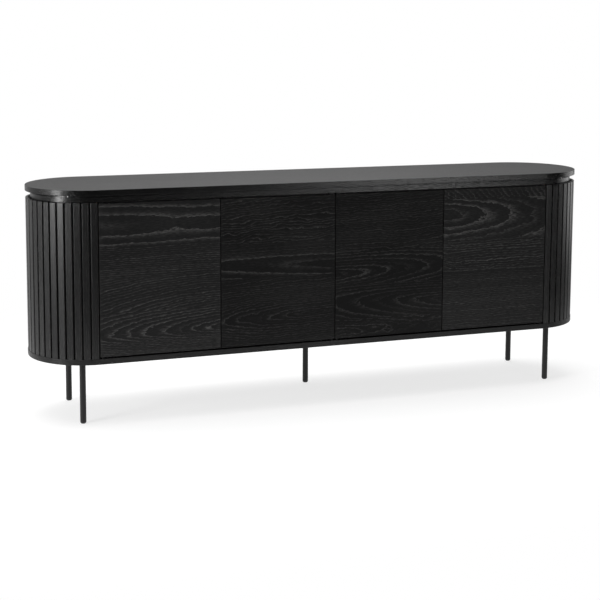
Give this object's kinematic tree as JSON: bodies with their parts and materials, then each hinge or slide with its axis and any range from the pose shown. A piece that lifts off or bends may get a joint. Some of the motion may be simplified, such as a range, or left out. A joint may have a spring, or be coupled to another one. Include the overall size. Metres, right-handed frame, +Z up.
{
  "type": "sideboard",
  "caption": "Long low sideboard with half-round slatted ends, a recessed neck under a thin top, flat push-to-open doors and slim round legs.",
  "frame": {"origin": "on the floor under the middle of the sideboard", "axes": "+X along the length, +Y from the doors towards the back, +Z up"},
  "size_m": [1.9996, 0.4, 0.766],
  "materials": {
    "ash_black": "black-stained ash, matt lacquer",
    "door_ash": "black-stained ash veneer, open pores",
    "slat_ash": "black-stained ash, upright grain",
    "carcass_board": "black-stained veneered board",
    "plain_wood": "bare plywood and softwood",
    "zinc_steel": "zinc plated",
    "black_steel": "fine matt black powder coat",
    "black_plastic": "matt",
    "grey_plastic": "fine texture",
    "soft_rubber": "matt"
  },
  "bodies": {
    "carcass": {"back_panel": "ash_black", "back_screws": "black_steel", "base_panel": "ash_black", "carcass_screws": "zinc_steel", "centre_divider": "carcass_board", "door_bumpers": "soft_rubber", "end_partition_left": "carcass_board", "end_partition_right": "carcass_board", "end_posts_left": "plain_wood", "end_posts_right": "plain_wood", "end_ribs_left": "plain_wood", "end_ribs_right": "plain_wood", "end_shell_left": "slat_ash", "end_shell_right": "slat_ash", "hardware_screws": "zinc_steel", "latch_housing_inner_left": "grey_plastic", "latch_housing_inner_right": "grey_plastic", "latch_housing_outer_left": "grey_plastic", "latch_housing_outer_right": "grey_plastic", "leg_back_left": "black_steel", "leg_back_right": "black_steel", "leg_centre": "black_steel", "leg_front_left": "black_steel", "leg_front_right": "black_steel", "leg_glides": "black_plastic", "leg_inserts": "zinc_steel", "neck_cross_rails": "plain_wood", "neck_end_left": "ash_black", "neck_end_right": "ash_black", "neck_rail_back": "ash_black", "neck_rail_front": "ash_black", "pivot_plates_lower": "black_steel", "pivot_plates_upper": "black_steel", "shelf_left": "carcass_board", "shelf_pins": "zinc_steel", "shelf_right": "carcass_board", "slats_left": "slat_ash", "slats_right": "slat_ash", "top_panel": "carcass_board", "top_slab": "ash_black"},
    "door_outer_left": {"door_outer_left": "door_ash", "pivot_leaves_outer_left": "black_steel", "leaf_screws_outer_left": "zinc_steel", "strike_plate_outer_left": "zinc_steel"},
    "door_inner_left": {"door_inner_left": "door_ash", "pivot_leaves_inner_left": "black_steel", "leaf_screws_inner_left": "zinc_steel", "strike_plate_inner_left": "zinc_steel"},
    "door_inner_right": {"door_inner_right": "door_ash", "pivot_leaves_inner_right": "black_steel", "leaf_screws_inner_right": "zinc_steel", "strike_plate_inner_right": "zinc_steel"},
    "door_outer_right": {"door_outer_right": "door_ash", "pivot_leaves_outer_right": "black_steel", "leaf_screws_outer_right": "zinc_steel", "strike_plate_outer_right": "zinc_steel"},
    "plunger_outer_left": {"latch_plunger_outer_left": "grey_plastic"},
    "plunger_inner_left": {"latch_plunger_inner_left": "grey_plastic"},
    "plunger_inner_right": {"latch_plunger_inner_right": "grey_plastic"},
    "plunger_outer_right": {"latch_plunger_outer_right": "grey_plastic"}
  },
  "joints": [
    {"name": "hinge_outer_left", "type": "hinge", "parent": "carcass", "child": "door_outer_left", "pos_m": [-0.7905, -0.193, 0.228], "axis": [0, 0, -1], "range_deg": [0, 100]},
    {"name": "hinge_inner_left", "type": "hinge", "parent": "carcass", "child": "door_inner_left", "pos_m": [-0.0095, -0.193, 0.228], "axis": [0, 0, 1], "range_deg": [0, 90]},
    {"name": "hinge_inner_right", "type": "hinge", "parent": "carcass", "child": "door_inner_right", "pos_m": [0.0095, -0.193, 0.228], "axis": [0, 0, -1], "range_deg": [0, 90]},
    {"name": "hinge_outer_right", "type": "hinge", "parent": "carcass", "child": "door_outer_right", "pos_m": [0.7905, -0.193, 0.228], "axis": [0, 0, 1], "range_deg": [0, 100]},
    {"name": "push_outer_left", "type": "slide", "parent": "carcass", "child": "plunger_outer_left", "axis": [0, 1, 0], "range_m": [0, 0.003], "stiffness_N_per_m": 600},
    {"name": "push_inner_left", "type": "slide", "parent": "carcass", "child": "plunger_inner_left", "axis": [0, 1, 0], "range_m": [0, 0.003], "stiffness_N_per_m": 600},
    {"name": "push_inner_right", "type": "slide", "parent": "carcass", "child": "plunger_inner_right", "axis": [0, 1, 0], "range_m": [0, 0.003], "stiffness_N_per_m": 600},
    {"name": "push_outer_right", "type": "slide", "parent": "carcass", "child": "plunger_outer_right", "axis": [0, 1, 0], "range_m": [0, 0.003], "stiffness_N_per_m": 600}
  ]
}
